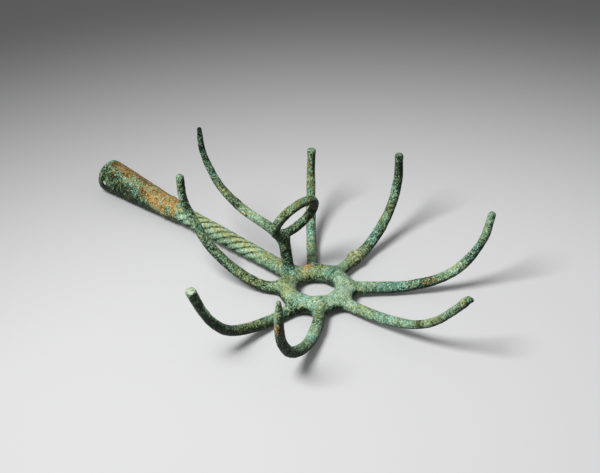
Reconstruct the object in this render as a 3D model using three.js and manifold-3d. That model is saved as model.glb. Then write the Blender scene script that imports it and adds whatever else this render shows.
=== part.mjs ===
// A cast bronze torch holder: a ring hub with upturned prongs, an upright stalk that carries a
// hanging loop and one raised prong, and a handle of twisted shank, collar and hollow socket.
// Millimetres and degrees. It lies on the bellies of two prongs and on its socket's rim.

import * as THREE from "three";
import { mergeVertices } from "three/addons/utils/BufferGeometryUtils.js";
import Module from "manifold-3d";

const wasm = await Module();
wasm.setup();

// Driving dimensions. "Out" is measured level from the hub's upright axis, "up" from the hub's
// centre, and bearings turn anticlockwise from +X. The handle lies along -X.

// Clearance between any two pieces that seat on each other
const SEAT_GAP = 0.3;

const HUB = {
  ringRadius: 22.9,
  barHalfWidth: 7.75,
  barHalfHeight: 6.4,
  barUp: 1,
};

const HANDLE = {
  mouthDistance: 256.1,
  offset: 1.7,
  riseAtHub: 0.9,
  floorDepth: 7.9,
};

const SOCKET = {
  length: 77.5,
  mouthRadius: 14.9,
  endRadius: 9.7,
  wall: 2.2,
  floorThickness: 12,
  rimRounding: 0.4,
};

const NAIL_HOLE = {
  radius: 1.8,
  fromMouth: 7.3,
};

const COLLAR = {
  length: 6,
  beadRadius: 10.1,
  grooveDepth: 0.6,
  grooveWidth: 1.2,
};

const SHANK = {
  hubRadius: 6.2,
  collarRadius: 7.7,
  shoulderRadius: 9.5,
  shoulderLength: 6,
  flutes: 6,
  fluteDepth: 0.75,
  twistLead: 65,
  smoothLength: 30,
  fadeLength: 16,
};

const STALK = {
  bearing: -176,
  radius: 4.7,
  rootBeyondRing: 4.1,
  rootUp: 3,
  leanOut: 6.2,
  height: 32,
};

const LOOP = {
  halfWidth: 18.6,
  halfHeight: 20.7,
  barRadius: 3.8,
  facing: 174.2,
  lean: 27.9,
  footBesideStalk: 5.8,
  footBeyondStalk: 2.5,
  footAboveStalk: 1.9,
};

// The prongs that spring from the hub. Each is bent in a plane of its own, which stands at
// `bearing`, passes the hub's axis at `offset` and leans sideways by `lean`. `thickness` is the
// bar's diameter at root, middle and tip. `stations` are the points [beyond, up] that the bar's
// centreline runs through after it leaves the middle of the ring's bar, beyond and above that
// start, with a third value where it strays sideways from its plane. `swelling` is a local
// thickening. They are hand made, so no two are alike.
const PRONGS = [
  {
    name: "prong_2",
    bearing: 133.9,
    offset: 1.3,
    lean: -0.8,
    thickness: [9.2, 8.4, 7],
    stations: [[21.1, -3.3], [49.1, -1.2], [73.1, 10], [88.1, 24], [97.1, 41], [98.1, 60]],
  },
  {
    name: "prong_3",
    bearing: 96.6,
    offset: -0.2,
    lean: 0.5,
    thickness: [10, 8.8, 7],
    stations: [[22.1, 0], [51.1, 2], [76.1, 14], [90.1, 29], [97, 48], [97, 68]],
    swelling: { beyond: 33.1, length: 9, height: 1.9 },
  },
  {
    name: "prong_4",
    bearing: 47.2,
    offset: -0.8,
    lean: -1.8,
    thickness: [10.8, 8.2, 6.3],
    stations: [[17.1, 0], [50.1, 0], [80.3, 8], [97.9, 23], [109.2, 43], [113.6, 65]],
  },
  {
    name: "prong_5",
    bearing: 1.4,
    offset: 1.1,
    lean: 1.8,
    thickness: [10.3, 7.4, 5.8],
    stations: [[21.1, 0], [49.1, 3.6], [74.1, 11.2], [91.1, 22.2], [105.1, 37.3], [117.1, 53]],
    swelling: { beyond: 116.1, length: 3.5, height: 0.8 },
  },
  {
    name: "prong_6",
    bearing: -55,
    offset: 6,
    lean: 0,
    thickness: [10.3, 8.3, 6.4],
    stations: [
      [24.1, 0, 1.2],
      [55.1, 2.6, -3.4],
      [80.3, 14.5, -11.5],
      [93.5, 32, -16],
      [101.1, 52, -16.8],
      [104.1, 73.8, -16.6],
    ],
  },
  {
    name: "prong_7",
    bearing: -90.9,
    offset: 4.1,
    lean: 0.4,
    thickness: [9.8, 8.3, 6.6],
    stations: [
      [20.1, -3.2, -1.8],
      [48.1, 2, -1.6],
      [75.1, 13, -0.2],
      [91.1, 28],
      [102.5, 46],
      [111.1, 65],
    ],
    swelling: { beyond: 110.1, length: 5, height: 0.5 },
  },
  {
    name: "prong_8",
    bearing: -149.3,
    offset: 2.4,
    lean: -0.3,
    thickness: [9.9, 8.1, 6.3],
    stations: [[21.1, -1], [46.8, 14.1], [65.1, 33.5], [75.1, 52], [83.1, 70], [85.1, 90]],
  },
];

// The prong that leaves the top of the stalk and runs back over the handle. Its stations start
// from there.
const RAISED_PRONG = {
  name: "prong_1",
  bearing: -170.6,
  offset: -1.3,
  lean: -2.3,
  thickness: [8.4, 7, 4],
  stations: [[13.8, 6], [38.8, 14], [59.8, 26], [71.8, 40], [79.8, 55], [82.8, 73]],
};

// Fineness of the faceted surfaces
const BAR_SIDES = 12;
const PRONG_STEPS = 20;
const STALK_STEPS = 6;
const TIP_STEPS = 3;
const HUB_SEGMENTS = 48;
const HUB_PROFILE_STEPS = 16;
const TURNED_SEGMENTS = 40;
const SHANK_SIDES = 24;
const SHANK_STEPS = 44;
const LOOP_SEGMENTS = 32;

const Z_AXIS = new THREE.Vector3(0, 0, 1);
const radians = THREE.MathUtils.degToRad;

// Closed surface through a row of rings with equally many points. A ring of one point closes
// an end to a tip, and any other end is closed by a flat fan.
function loft(rings) {
  const positions = [];
  const indices = [];
  const starts = rings.map((ring) => {
    const start = positions.length / 3;
    for (const point of ring) positions.push(point.x, point.y, point.z);
    return start;
  });
  const triangle = (a, b, c) => indices.push(a, b, c);
  for (let i = 0; i + 1 < rings.length; i += 1) {
    const [here, next] = [rings[i], rings[i + 1]];
    const sides = Math.max(here.length, next.length);
    for (let j = 0; j < sides; j += 1) {
      const k = (j + 1) % sides;
      if (here.length === 1) triangle(starts[i], starts[i + 1] + k, starts[i + 1] + j);
      else if (next.length === 1) triangle(starts[i] + j, starts[i] + k, starts[i + 1]);
      else {
        triangle(starts[i] + j, starts[i] + k, starts[i + 1] + k);
        triangle(starts[i] + j, starts[i + 1] + k, starts[i + 1] + j);
      }
    }
  }
  const closeFlat = (ring, start, reversed) => {
    if (ring.length === 1) return;
    const centre = new THREE.Vector3();
    for (const point of ring) centre.addScaledVector(point, 1 / ring.length);
    const middle = positions.length / 3;
    positions.push(centre.x, centre.y, centre.z);
    for (let j = 0; j < ring.length; j += 1) {
      const k = (j + 1) % ring.length;
      if (reversed) triangle(middle, start + k, start + j);
      else triangle(middle, start + j, start + k);
    }
  };
  closeFlat(rings[0], starts[0], true);
  closeFlat(rings[rings.length - 1], starts[rings.length - 1], false);
  const geometry = new THREE.BufferGeometry();
  geometry.setAttribute("position", new THREE.Float32BufferAttribute(positions, 3));
  geometry.setIndex(indices);
  return geometry;
}

// Round bar along a curve, flat at its start and domed at its end
function roundBar(curve, radiusAt, steps) {
  const frames = curve.computeFrenetFrames(steps, false);
  const ringAround = (centre, radius, step) => {
    const ring = [];
    for (let j = 0; j < BAR_SIDES; j += 1) {
      const angle = (2 * Math.PI * j) / BAR_SIDES;
      const point = centre.clone();
      point.addScaledVector(frames.normals[step], radius * Math.cos(angle));
      point.addScaledVector(frames.binormals[step], radius * Math.sin(angle));
      ring.push(point);
    }
    return ring;
  };
  const rings = [];
  for (let i = 0; i <= steps; i += 1) {
    rings.push(ringAround(curve.getPointAt(i / steps), radiusAt(i / steps), i));
  }
  const end = curve.getPointAt(1);
  const tipRadius = radiusAt(1);
  for (let i = 1; i <= TIP_STEPS; i += 1) {
    const angle = (0.5 * Math.PI * i) / TIP_STEPS;
    const centre = end.clone().addScaledVector(frames.tangents[steps], tipRadius * Math.sin(angle));
    if (i === TIP_STEPS) rings.push([centre]);
    else rings.push(ringAround(centre, tipRadius * Math.cos(angle), steps));
  }
  return loft(rings);
}

// Body turned about the handle's axis, from a profile of [radius, distance along the axis]
function turned(profile) {
  const points = profile.map(([radius, along]) => new THREE.Vector2(radius, along));
  return new THREE.LatheGeometry(points, TURNED_SEGMENTS).rotateZ(-Math.PI / 2);
}

function toSolid(geometry) {
  const bare = geometry.clone();
  bare.deleteAttribute("normal");
  bare.deleteAttribute("uv");
  const merged = mergeVertices(bare, 1e-4);
  return new wasm.Manifold(
    new wasm.Mesh({
      numProp: 3,
      vertProperties: new Float32Array(merged.attributes.position.array),
      triVerts: new Uint32Array(merged.index.array),
    }),
  );
}

function toGeometry(solid) {
  const mesh = solid.getMesh();
  const geometry = new THREE.BufferGeometry();
  geometry.setAttribute("position", new THREE.BufferAttribute(mesh.vertProperties, mesh.numProp));
  geometry.setIndex(new THREE.BufferAttribute(mesh.triVerts, 1));
  geometry.computeVertexNormals();
  return geometry;
}

// A shape is a geometry with the matrix that takes it from its own frame to the hub's frame.
// Cutting leaves the result in the first shape's own frame.
function cut(shape, cutters) {
  const toOwnFrame = shape.matrix.clone().invert();
  let solid = toSolid(shape.geometry);
  for (const cutter of cutters) {
    const matrix = toOwnFrame.clone().multiply(cutter.matrix);
    solid = solid.subtract(toSolid(cutter.geometry.clone().applyMatrix4(matrix)));
  }
  return toGeometry(solid);
}

// Frame that is turned to a bearing about the hub's upright axis
function bearingFrame(bearing) {
  return new THREE.Matrix4().makeRotationZ(radians(bearing));
}

// Ring hub: a bar of oval section bent into a ring
function hubShape(grow) {
  const profile = [];
  for (let i = 0; i <= HUB_PROFILE_STEPS; i += 1) {
    const angle = (2 * Math.PI * i) / HUB_PROFILE_STEPS;
    const out = HUB.ringRadius + (HUB.barHalfWidth + grow) * Math.cos(angle);
    profile.push(new THREE.Vector2(out, HUB.barUp + (HUB.barHalfHeight + grow) * Math.sin(angle)));
  }
  const geometry = new THREE.LatheGeometry(profile, HUB_SEGMENTS).rotateX(Math.PI / 2);
  return { geometry, matrix: new THREE.Matrix4() };
}

// The handle's frame: +X runs out along its axis, which rises just enough for the socket's rim
// to touch the floor that the prongs lie on
function handleFrame() {
  const rimDistance = HANDLE.mouthDistance - SOCKET.rimRounding;
  const rimAngle = Math.atan2(SOCKET.mouthRadius, rimDistance);
  const reach = Math.hypot(rimDistance, SOCKET.mouthRadius);
  const tilt = rimAngle - Math.asin((HANDLE.floorDepth + HANDLE.riseAtHub) / reach);
  const frame = new THREE.Matrix4().makeTranslation(0, HANDLE.offset, HANDLE.riseAtHub);
  frame.multiply(new THREE.Matrix4().makeRotationZ(Math.PI));
  return frame.multiply(new THREE.Matrix4().makeRotationY(-tilt));
}

// Distances along the handle where one piece hands over to the next
const socketEnd = HANDLE.mouthDistance - SOCKET.length;
const collarEnd = socketEnd - SEAT_GAP - COLLAR.length;
const shankEnd = collarEnd - SEAT_GAP;

// Hollow tapering socket that took the end of a wooden shaft, with one nail hole by its mouth
function socketShape() {
  const mouth = HANDLE.mouthDistance;
  const boreEnd = socketEnd + SOCKET.floorThickness;
  const taper = (SOCKET.mouthRadius - SOCKET.endRadius) / SOCKET.length;
  const outerRadius = (along) => SOCKET.endRadius + taper * (along - socketEnd);
  const geometry = turned([
    [0, socketEnd],
    [SOCKET.endRadius, socketEnd],
    [outerRadius((socketEnd + mouth) / 2), (socketEnd + mouth) / 2],
    [SOCKET.mouthRadius, mouth - SOCKET.rimRounding],
    [SOCKET.mouthRadius - SOCKET.rimRounding, mouth],
    [SOCKET.mouthRadius - SOCKET.wall, mouth],
    [outerRadius(boreEnd) - SOCKET.wall, boreEnd],
    [0, boreEnd],
  ]);
  return { geometry, matrix: handleFrame() };
}

// Round drill through the socket's -Y wall, which is +Y in the handle's frame
function nailHoleShape() {
  const length = SOCKET.mouthRadius + 1;
  const geometry = new THREE.CylinderGeometry(NAIL_HOLE.radius, NAIL_HOLE.radius, length, 16);
  geometry.translate(HANDLE.mouthDistance - NAIL_HOLE.fromMouth, length / 2, 0);
  return { geometry, matrix: handleFrame() };
}

// Low bead with one incised line round it
function collarShape() {
  const [start, end] = [collarEnd, collarEnd + COLLAR.length];
  const lineAt = start + COLLAR.length / 2;
  const geometry = turned([
    [0, start],
    [SHANK.shoulderRadius, start],
    [COLLAR.beadRadius, start + COLLAR.grooveWidth],
    [COLLAR.beadRadius, lineAt - COLLAR.grooveWidth / 2],
    [COLLAR.beadRadius - COLLAR.grooveDepth, lineAt],
    [COLLAR.beadRadius, lineAt + COLLAR.grooveWidth / 2],
    [COLLAR.beadRadius, end - COLLAR.grooveWidth],
    [SOCKET.endRadius, end],
    [0, end],
  ]);
  return { geometry, matrix: handleFrame() };
}

// Shank that swells from the hub to a short shoulder at the collar. Its flutes run round it
// as a left-hand twist and fade out towards the hub.
function shankShape(grow) {
  const start = HUB.ringRadius;
  const shoulderStart = shankEnd - SHANK.shoulderLength;
  const smoothEnd = HUB.ringRadius + SHANK.smoothLength;
  const bodyRadius = (along) => {
    const share = (along - start) / (shoulderStart - start);
    const body = THREE.MathUtils.lerp(SHANK.hubRadius, SHANK.collarRadius, Math.min(share, 1));
    const flare = THREE.MathUtils.smoothstep(along, shoulderStart, shankEnd);
    return body + flare * (SHANK.shoulderRadius - body);
  };
  const fluteDepth = (along) => {
    const risen = THREE.MathUtils.smoothstep(along, smoothEnd, smoothEnd + SHANK.fadeLength);
    const kept = 1 - THREE.MathUtils.smoothstep(along, shoulderStart, shankEnd);
    return SHANK.fluteDepth * risen * kept;
  };
  const rings = [];
  for (let i = 0; i <= SHANK_STEPS; i += 1) {
    const along = start + ((shankEnd - start) * i) / SHANK_STEPS;
    const turn = (2 * Math.PI * (along - start)) / SHANK.twistLead;
    const ring = [];
    for (let j = 0; j < SHANK_SIDES; j += 1) {
      const angle = (2 * Math.PI * j) / SHANK_SIDES;
      const groove = 0.5 + 0.5 * Math.cos(SHANK.flutes * angle);
      const radius = bodyRadius(along) - fluteDepth(along) * groove + grow;
      const y = radius * Math.cos(angle - turn);
      const z = radius * Math.sin(angle - turn);
      ring.push(new THREE.Vector3(along, y, z));
    }
    rings.push(ring);
  }
  return { geometry: loft(rings), matrix: handleFrame() };
}

// Diameter along a prong, drawn through its root, middle and tip values
function prongRadius(thickness, share) {
  const [root, middle, tip] = thickness;
  const rootPart = root * (1 - share) * (1 - 2 * share);
  const tipPart = tip * share * (2 * share - 1);
  return (rootPart + 4 * middle * share * (1 - share) + tipPart) / 2;
}

// A prong's root is the place [out, up] that its stations start from
function prongShape(prong, root, grow) {
  const stations = [[0, 0], ...prong.stations];
  const points = stations.map(
    ([beyond, up, side = 0]) => new THREE.Vector3(root[0] + beyond, side, root[1] + up),
  );
  const curve = new THREE.CatmullRomCurve3(points, false, "centripetal");
  const radiusAt = (share) => {
    const radius = prongRadius(prong.thickness, share) + grow;
    if (!prong.swelling) return radius;
    const { beyond, length, height } = prong.swelling;
    const distance = (curve.getPointAt(share).x - root[0] - beyond) / length;
    return radius + height * Math.exp(-distance * distance);
  };
  const matrix = bearingFrame(prong.bearing);
  matrix.multiply(new THREE.Matrix4().makeTranslation(0, prong.offset, 0));
  matrix.multiply(new THREE.Matrix4().makeRotationX(-radians(prong.lean)));
  return { geometry: roundBar(curve, radiusAt, PRONG_STEPS), matrix };
}

// The stalk's ends, as places [out, up] at its bearing
const stalkRoot = [HUB.ringRadius + STALK.rootBeyondRing, STALK.rootUp];
const stalkTop = [stalkRoot[0] + STALK.leanOut, stalkRoot[1] + STALK.height];

// Upright bar that stands on the hub's rim and the handle's root
function stalkShape(grow) {
  const root = new THREE.Vector3(stalkRoot[0], 0, stalkRoot[1]);
  const top = new THREE.Vector3(stalkTop[0], 0, stalkTop[1]);
  const curve = new THREE.LineCurve3(root, top);
  const geometry = roundBar(curve, () => STALK.radius + grow, STALK_STEPS);
  return { geometry, matrix: bearingFrame(STALK.bearing) };
}

// Oval ring whose foot is bedded beside the stalk's top. Its own frame has +Y up the oval and
// +Z along the way it faces.
function loopShape(grow) {
  const side = LOOP.halfWidth;
  const geometry = new THREE.TorusGeometry(side, LOOP.barRadius + grow, BAR_SIDES, LOOP_SEGMENTS);
  geometry.scale(1, LOOP.halfHeight / LOOP.halfWidth, 1);
  const [facing, lean] = [radians(LOOP.facing), radians(LOOP.lean)];
  const level = Math.cos(lean);
  const normal = new THREE.Vector3(level * Math.cos(facing), level * Math.sin(facing), Math.sin(lean));
  const across = new THREE.Vector3().crossVectors(Z_AXIS, normal).normalize();
  const upright = new THREE.Vector3().crossVectors(normal, across);
  const footOut = stalkTop[0] + LOOP.footBeyondStalk;
  const foot = new THREE.Vector3(footOut, 0, stalkTop[1] + LOOP.footAboveStalk);
  foot.applyMatrix4(bearingFrame(STALK.bearing)).addScaledVector(across, -LOOP.footBesideStalk);
  const centre = foot.addScaledVector(upright, LOOP.halfHeight);
  const matrix = new THREE.Matrix4().makeBasis(across, upright, normal).setPosition(centre);
  return { geometry, matrix };
}

const PATINA = {
  hub: { color: 0x6f9179, roughness: 0.78, metalness: 0.25 },
  prong: { color: 0x55786a, roughness: 0.8, metalness: 0.25 },
  darkProng: { color: 0x3c564a, roughness: 0.8, metalness: 0.25 },
  loop: { color: 0x4a6655, roughness: 0.76, metalness: 0.3 },
  shank: { color: 0x7f8f62, roughness: 0.8, metalness: 0.25 },
  socket: { color: 0x7d6a45, roughness: 0.72, metalness: 0.3 },
};

// Named mesh that stands in the frame its shape was made in
function place(name, geometry, matrix, finish) {
  const mesh = new THREE.Mesh(geometry, new THREE.MeshStandardMaterial(finish));
  mesh.name = name;
  mesh.applyMatrix4(matrix);
  return mesh;
}

function buildHub() {
  const hub = hubShape(0);
  return place("hub_ring", cut(hub, []), hub.matrix, PATINA.hub);
}

function buildHandle() {
  const handle = new THREE.Group();
  const shank = shankShape(0);
  const collar = collarShape();
  const socket = socketShape();
  const shankSeat = [hubShape(SEAT_GAP)];
  handle.add(place("twisted_shank", cut(shank, shankSeat), shank.matrix, PATINA.shank));
  handle.add(place("socket_collar", cut(collar, []), collar.matrix, PATINA.socket));
  const drilled = cut(socket, [nailHoleShape()]);
  handle.add(place("shaft_socket", drilled, socket.matrix, PATINA.socket));
  return handle;
}

function buildProngs() {
  const prongs = new THREE.Group();
  for (const prong of PRONGS) {
    const shape = prongShape(prong, [HUB.ringRadius, 0], 0);
    const geometry = cut(shape, [hubShape(SEAT_GAP)]);
    prongs.add(place(prong.name, geometry, shape.matrix, PATINA.prong));
  }
  return prongs;
}

function buildStalk() {
  const upper = new THREE.Group();
  const loop = loopShape(0);
  const stalk = stalkShape(0);
  const prong = prongShape(RAISED_PRONG, stalkTop, 0);
  const stalkSeats = [hubShape(SEAT_GAP), shankShape(SEAT_GAP), loopShape(SEAT_GAP)];
  const prongSeats = [stalkShape(SEAT_GAP), loopShape(SEAT_GAP)];
  upper.add(place("hanging_loop", cut(loop, []), loop.matrix, PATINA.loop));
  upper.add(place("loop_stalk", cut(stalk, stalkSeats), stalk.matrix, PATINA.darkProng));
  upper.add(place(RAISED_PRONG.name, cut(prong, prongSeats), prong.matrix, PATINA.prong));
  return upper;
}

const holder = new THREE.Group();
holder.name = "torch_holder";
holder.add(buildHub(), buildHandle(), buildProngs(), buildStalk());

// The origin is at the middle of the object's box, on the floor
const box = new THREE.Box3().setFromObject(holder, true);
const middle = box.getCenter(new THREE.Vector3());
holder.position.set(-middle.x, -middle.y, -box.min.z);

export default holder;
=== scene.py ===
"""Looks of a cast bronze torch holder, modelled over its CAD pieces.

The casting is sculpted as one distance field, so that the prongs flow into the hub as they do in
metal, and then parted into one closed mesh for each CAD node. Lengths are millimetres in the hub's
frame (origin at the ring's centre, handle along -X) until a mesh is made, in metres.
"""

import math

import bmesh
import bpy
import numpy as np
from mathutils import Matrix, Vector


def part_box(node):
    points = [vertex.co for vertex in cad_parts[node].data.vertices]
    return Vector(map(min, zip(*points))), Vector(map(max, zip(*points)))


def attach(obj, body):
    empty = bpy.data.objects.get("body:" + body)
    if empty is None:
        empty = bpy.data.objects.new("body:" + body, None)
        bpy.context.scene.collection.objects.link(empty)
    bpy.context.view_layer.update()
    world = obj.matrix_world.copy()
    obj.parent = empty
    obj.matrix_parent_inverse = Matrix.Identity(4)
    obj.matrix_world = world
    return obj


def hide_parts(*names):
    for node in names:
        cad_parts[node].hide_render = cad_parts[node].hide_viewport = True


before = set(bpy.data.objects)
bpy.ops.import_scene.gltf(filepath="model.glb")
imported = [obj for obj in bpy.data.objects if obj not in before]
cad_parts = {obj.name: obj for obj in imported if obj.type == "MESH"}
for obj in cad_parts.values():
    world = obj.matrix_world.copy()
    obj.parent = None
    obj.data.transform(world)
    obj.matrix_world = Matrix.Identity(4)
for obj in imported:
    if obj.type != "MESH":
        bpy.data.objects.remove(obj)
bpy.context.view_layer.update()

MM = 0.001
FAR = 50.0  # value of a field where nothing is near
BAND = 7.0  # how far round a shape its field is worked out
CASTING_STEP, TURNED_STEP, CURVE_STEP = 0.8, 0.55, 1.5
CASTING_MARGIN, TURNED_MARGIN = 14, [2, 17, 17]
SEAT_GAP = 0.3

HUB_RADIUS, HUB_HALF_WIDTH, HUB_HALF_HEIGHT, HUB_UP, EYE_WEAR = 22.9, 7.75, 6.4, 1.0, 0.7
CRACK_BEARING = -75.5
HANDLE_OFFSET, HANDLE_RISE, FLOOR_DEPTH, RIM_ROUNDING = 1.7, 0.9, 7.9, 0.4

# Places along the handle, from the hub's axis
TWIST_START, TWIST_FULL, FLARE_START, TWIST_END = 48, 80, 150, 164
SHANK_END, COLLAR_END, COLLAR_TOP, SOCKET_END = 172.0, 172.3, 175.5, 178.6
BORE_END, NAIL_AT, MOUTH = 190.6, 248.8, 256.1

SHANK_RADIUS, SHANK_GROWTH, FLARE_RADIUS, FLARE_CURVE = 6.2, 1.5, 9.5, 1.2
TWIST_LEAD, RIDGE_AT, FLUTE_DEPTH, RIDGE_LIFT = 65, math.radians(19.7), 1.15, 0.15
COLLAR_LIP, LINE_DEPTH, LINE_OUTER, LINE_INNER = 0.85, 1.0, 1.1, 0.2
SOCKET_END_RADIUS, MOUTH_RADIUS, WALL, NAIL_RADIUS = 9.7, 14.9, 2.2, 1.8

STALK_BEARING, STALK_RADIUS = -176, 4.7
STALK_ROOT, STALK_TOP = (27.0, 3.0), (33.2, 35.0)
LOOP_HALF_WIDTH, LOOP_HALF_HEIGHT, LOOP_BAR = 18.6, 20.7, 3.8
LOOP_FACING, LOOP_LEAN = 174.2, 27.9
LOOP_FOOT_BESIDE, LOOP_FOOT_BEYOND, LOOP_FOOT_ABOVE = 5.8, 2.5, 1.9

# How widely pieces flow into what they spring from, and how round the cut edges are
PRONG_FILLET, SHANK_FILLET, RAISED_FILLET, LOOP_FILLET, STALK_FILLET = 6.2, 5.6, 4.0, 2.6, 4.5
NO_FILLET, TIP_EDGE, MOUTH_EDGE, BORE_EDGE, NAIL_EDGE = 0.1, 0.8, 0.9, 0.7, 1.4

# Where the pieces part: distance from the hub's axis, height up the stalk, share of prong_1
ROOT_CUT, STALK_CUT, RAISED_CUT = 33.0, 9.0, 0.06
ABOVE_HUB = 8  # height over which the stalk's side of its seam counts as stalk
SEAM_BAND, LOOP_SEAM_BAND, LOOP_SEAM_REACH = 2.5, 3, 20

# Crusty lumps: the bar, the share of its length, height over its middle, half-length, half-width,
# how softly it joins, and how far it strays
LUMP_SHARE = 0.235
LUMPS = (
    ("prong_3", LUMP_SHARE, 1.3, 8.6, 6.0, 1.5, (0, 0, 0)),
    ("prong_3", 0.255, 3.8, 4.0, 3.2, 1.0, (0.5, -2.0, 0)),
    ("prong_3", 0.205, 2.6, 3.6, 3.0, 1.0, (1.5, -2.5, 0)),
    ("prong_5", 1.0, 0.6, 1.9, 1.7, 1.0, (2.4, 2.2, 0)),
)

# Each prong's bearing round the hub, sideways offset, lean, and thickness at root, middle and tip.
# Stations are (out, up) or (out, up, sideways) from its root, a swelling is (out, spread, height),
# and a taper is the share where it starts and the part of the radius that it takes. A flat tip is
# cut square, and a dome is the bar's own round end.
PRONGS = {
    "prong_2": dict(
        bearing=133.9, offset=1.3, lean=-0.8, thickness=(9.2, 8.4, 7), tip="flat",
        stations=[(21.1, -3.3), (49.1, -1.2), (73.1, 10), (88.1, 24), (97.1, 41), (98.1, 60)],
    ),
    "prong_3": dict(
        bearing=96.6, offset=-0.2, lean=0.5, thickness=(10, 8.8, 7), tip="flat",
        stations=[(22.1, 0), (51.1, 2), (76.1, 14), (90.1, 29), (97, 48), (97, 68)],
    ),
    "prong_4": dict(
        bearing=47.2, offset=-0.8, lean=-1.8, thickness=(10.8, 8.2, 6.3), tip="dome",
        stations=[(17.1, 0), (50.1, 0), (80.3, 8), (97.9, 23), (109.2, 43), (113.6, 65)],
    ),
    "prong_5": dict(
        bearing=1.4, offset=1.1, lean=1.8, thickness=(10.3, 7.4, 5.8), tip="dome",
        stations=[(21.1, 0), (49.1, 3.6), (74.1, 11.2), (91.1, 22.2), (105.1, 37.3), (117.1, 53)],
        swelling=(116.1, 3.5, 0.8), taper=(0.955, 0.24),
    ),
    "prong_6": dict(
        bearing=-55, offset=6, lean=0, thickness=(10.3, 8.3, 6.4), tip="dome", taper=(0.91, 0.42),
        stations=[
            (24.1, 0, 1.2), (55.1, 2.6, -3.4), (80.3, 14.5, -11.5), (93.5, 32, -16),
            (101.1, 52, -16.8), (104.1, 73.8, -16.6),
        ],
    ),
    "prong_7": dict(
        bearing=-90.9, offset=4.1, lean=0.4, thickness=(9.8, 8.3, 6.6), tip="flat",
        stations=[
            (20.1, -3.2, -1.8), (48.1, 2, -1.6), (75.1, 13, -0.2), (91.1, 28), (102.5, 46),
            (111.1, 65),
        ],
        swelling=(110.1, 5, 0.5),
    ),
    "prong_8": dict(
        bearing=-149.3, offset=2.4, lean=-0.3, thickness=(9.9, 8.1, 6.3), tip="dome",
        stations=[(21.1, -1), (46.8, 14.1), (65.1, 33.5), (75.1, 52), (83.1, 70), (85.1, 90)],
    ),
    "prong_1": dict(
        bearing=-170.6, offset=-1.3, lean=-2.3, thickness=(8.4, 7, 4), tip="dome",
        stations=[(13.8, 6), (38.8, 14), (59.8, 26), (71.8, 40), (79.8, 55), (82.8, 73)],
    ),
}
HUB_PRONGS = sorted(set(PRONGS) - {"prong_1"})


# Noise

CORNERS = np.array([[c & 1, (c >> 1) & 1, c >> 2] for c in range(8)])


def corner_hash(x, y, z, seed):
    """One pseudo-random 32-bit number for each whole lattice point."""
    with np.errstate(over="ignore"):
        h = x * np.uint32(374761393) + y * np.uint32(668265263) + z * np.uint32(2147483647)
        h = h + np.uint32(seed) * np.uint32(2654435761)
        h = (h ^ (h >> np.uint32(13))) * np.uint32(1274126177)
        h = (h ^ (h >> np.uint32(16))) * np.uint32(2246822519)
    return h ^ (h >> np.uint32(15))


def noise(points, size, seed):
    """Gradient noise of about -1 to 1, with features `size` across."""
    p = points / size + 1000.0
    cell = np.floor(p)
    f = p - cell
    cell = cell.astype(np.int64).astype(np.uint32)
    ease = f * f * f * (f * (f * 6 - 15) + 10)
    total = np.zeros(len(p))
    for step in CORNERS:
        at = cell + step.astype(np.uint32)
        h = corner_hash(at[:, 0], at[:, 1], at[:, 2], seed)
        parts = [(h >> np.uint32(s)) & np.uint32(1023) for s in (0, 10, 20)]
        slope = np.stack(parts, 1) / 511.5 - 1
        away = f - step
        weight = np.prod(np.where(step == 1, ease, 1 - ease), 1)
        total += weight * (slope * away).sum(1)
    return np.clip(total * 1.6, -1, 1)


def layered(points, size, seed, layers, keep=0.5):
    """Noise in layers, each half the size of the one before and `keep` times as strong."""
    total, strength, whole = 0.0, 1.0, 0.0
    for i in range(layers):
        total = total + strength * noise(points, size / 2**i, seed + 17 * i)
        whole += strength
        strength *= keep
    return total / whole


def rise(low, high, x):
    """Smooth step from 0 at low to 1 at high."""
    t = np.clip((x - low) / (high - low), 0, 1)
    return t * t * (3 - 2 * t)


def bell(x, middle, reach):
    """1 at the middle, about a third at the reach and next to nothing at twice the reach."""
    return np.exp(-(((x - middle) / reach) ** 2))


# Frames and curves

def moved(points, matrix):
    m = np.array(matrix)
    return np.asarray(points, float) @ m[:3, :3].T + m[:3, 3]


def prong_frame(prong):
    turn = Matrix.Rotation(math.radians(prong["bearing"]), 4, "Z")
    shift = Matrix.Translation((0, prong["offset"], 0))
    return turn @ shift @ Matrix.Rotation(-math.radians(prong["lean"]), 4, "X")


def handle_frame():
    """Frame whose X runs from the hub to the socket's mouth, tilted so that the rim rests."""
    distance = MOUTH - RIM_ROUNDING
    reach = math.hypot(distance, MOUTH_RADIUS)
    tilt = math.atan2(MOUTH_RADIUS, distance) - math.asin((FLOOR_DEPTH + HANDLE_RISE) / reach)
    shift = Matrix.Translation((0, HANDLE_OFFSET, HANDLE_RISE))
    return shift @ Matrix.Rotation(math.pi, 4, "Z") @ Matrix.Rotation(-tilt, 4, "Y")


HANDLE = handle_frame()
TO_HANDLE = HANDLE.inverted()
HUB_LOW, HUB_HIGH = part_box("hub_ring")
SHIFT = np.array((HUB_LOW + HUB_HIGH) / 2) / MM - [0, 0, HUB_UP]  # hub's frame to world


def on_handle(along):
    """The point on the handle's axis at a distance from the hub's."""
    return moved([[along, 0, 0]], HANDLE)[0]


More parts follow.
